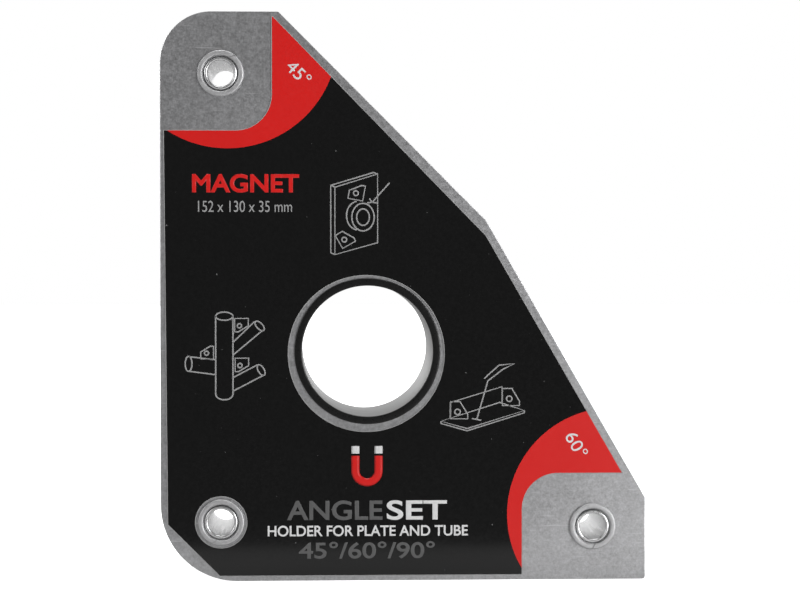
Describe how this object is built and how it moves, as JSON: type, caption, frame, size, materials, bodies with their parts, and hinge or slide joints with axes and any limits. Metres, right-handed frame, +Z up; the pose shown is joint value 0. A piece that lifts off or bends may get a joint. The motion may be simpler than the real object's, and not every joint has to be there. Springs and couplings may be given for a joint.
{
  "type": "welding magnet holder",
  "caption": "Flat multi-angle magnetic holder for welding: two steel side plates on a magnet core, with 45, 60 and 90 degree working edges, bolt bores and a finger hole.",
  "frame": {"origin": "middle of the bottom working edge, halfway through the thickness, on the surface it stands on", "axes": "+Z up along the 90 degree edge, +X along the bottom edge towards the 60 degree edge, +Y through the thickness towards the rear label"},
  "size_m": [0.13, 0.0368, 0.152],
  "materials": {
    "satin_steel": "satin, fine matt grain",
    "rivet_steel": "bright zinc plated, drawn and rolled",
    "sleeve_steel": "satin, cold rolled sheet",
    "black_ring": "matt moulded",
    "black_nylon": "matt moulded",
    "ferrite": "ground, dull",
    "label_film": "satin print film, black with red corner fields and light print"
  },
  "bodies": {
    "root": {"collar_front_left": "rivet_steel", "collar_front_right": "rivet_steel", "collar_front_top": "rivet_steel", "collar_rear_left": "rivet_steel", "collar_rear_right": "rivet_steel", "collar_rear_top": "rivet_steel", "finger_ring_front": "black_ring", "finger_ring_rear": "black_ring", "finger_sleeve": "sleeve_steel", "front_plate": "satin_steel", "label_front": "label_film", "label_rear": "label_film", "magnet_bottom_1_front": "ferrite", "magnet_bottom_1_rear": "ferrite", "magnet_bottom_2_front": "ferrite", "magnet_bottom_2_rear": "ferrite", "magnet_carrier": "black_nylon", "magnet_left_1_front": "ferrite", "magnet_left_1_rear": "ferrite", "magnet_left_2_front": "ferrite", "magnet_left_2_rear": "ferrite", "magnet_lower_1_front": "ferrite", "magnet_lower_1_rear": "ferrite", "magnet_upper_1_front": "ferrite", "magnet_upper_1_rear": "ferrite", "rear_plate": "satin_steel", "rivet_left": "rivet_steel", "rivet_right": "rivet_steel", "rivet_top": "rivet_steel", "spacer_bush_left": "satin_steel", "spacer_bush_right": "satin_steel", "spacer_bush_top": "satin_steel"}
  },
  "joints": []
}
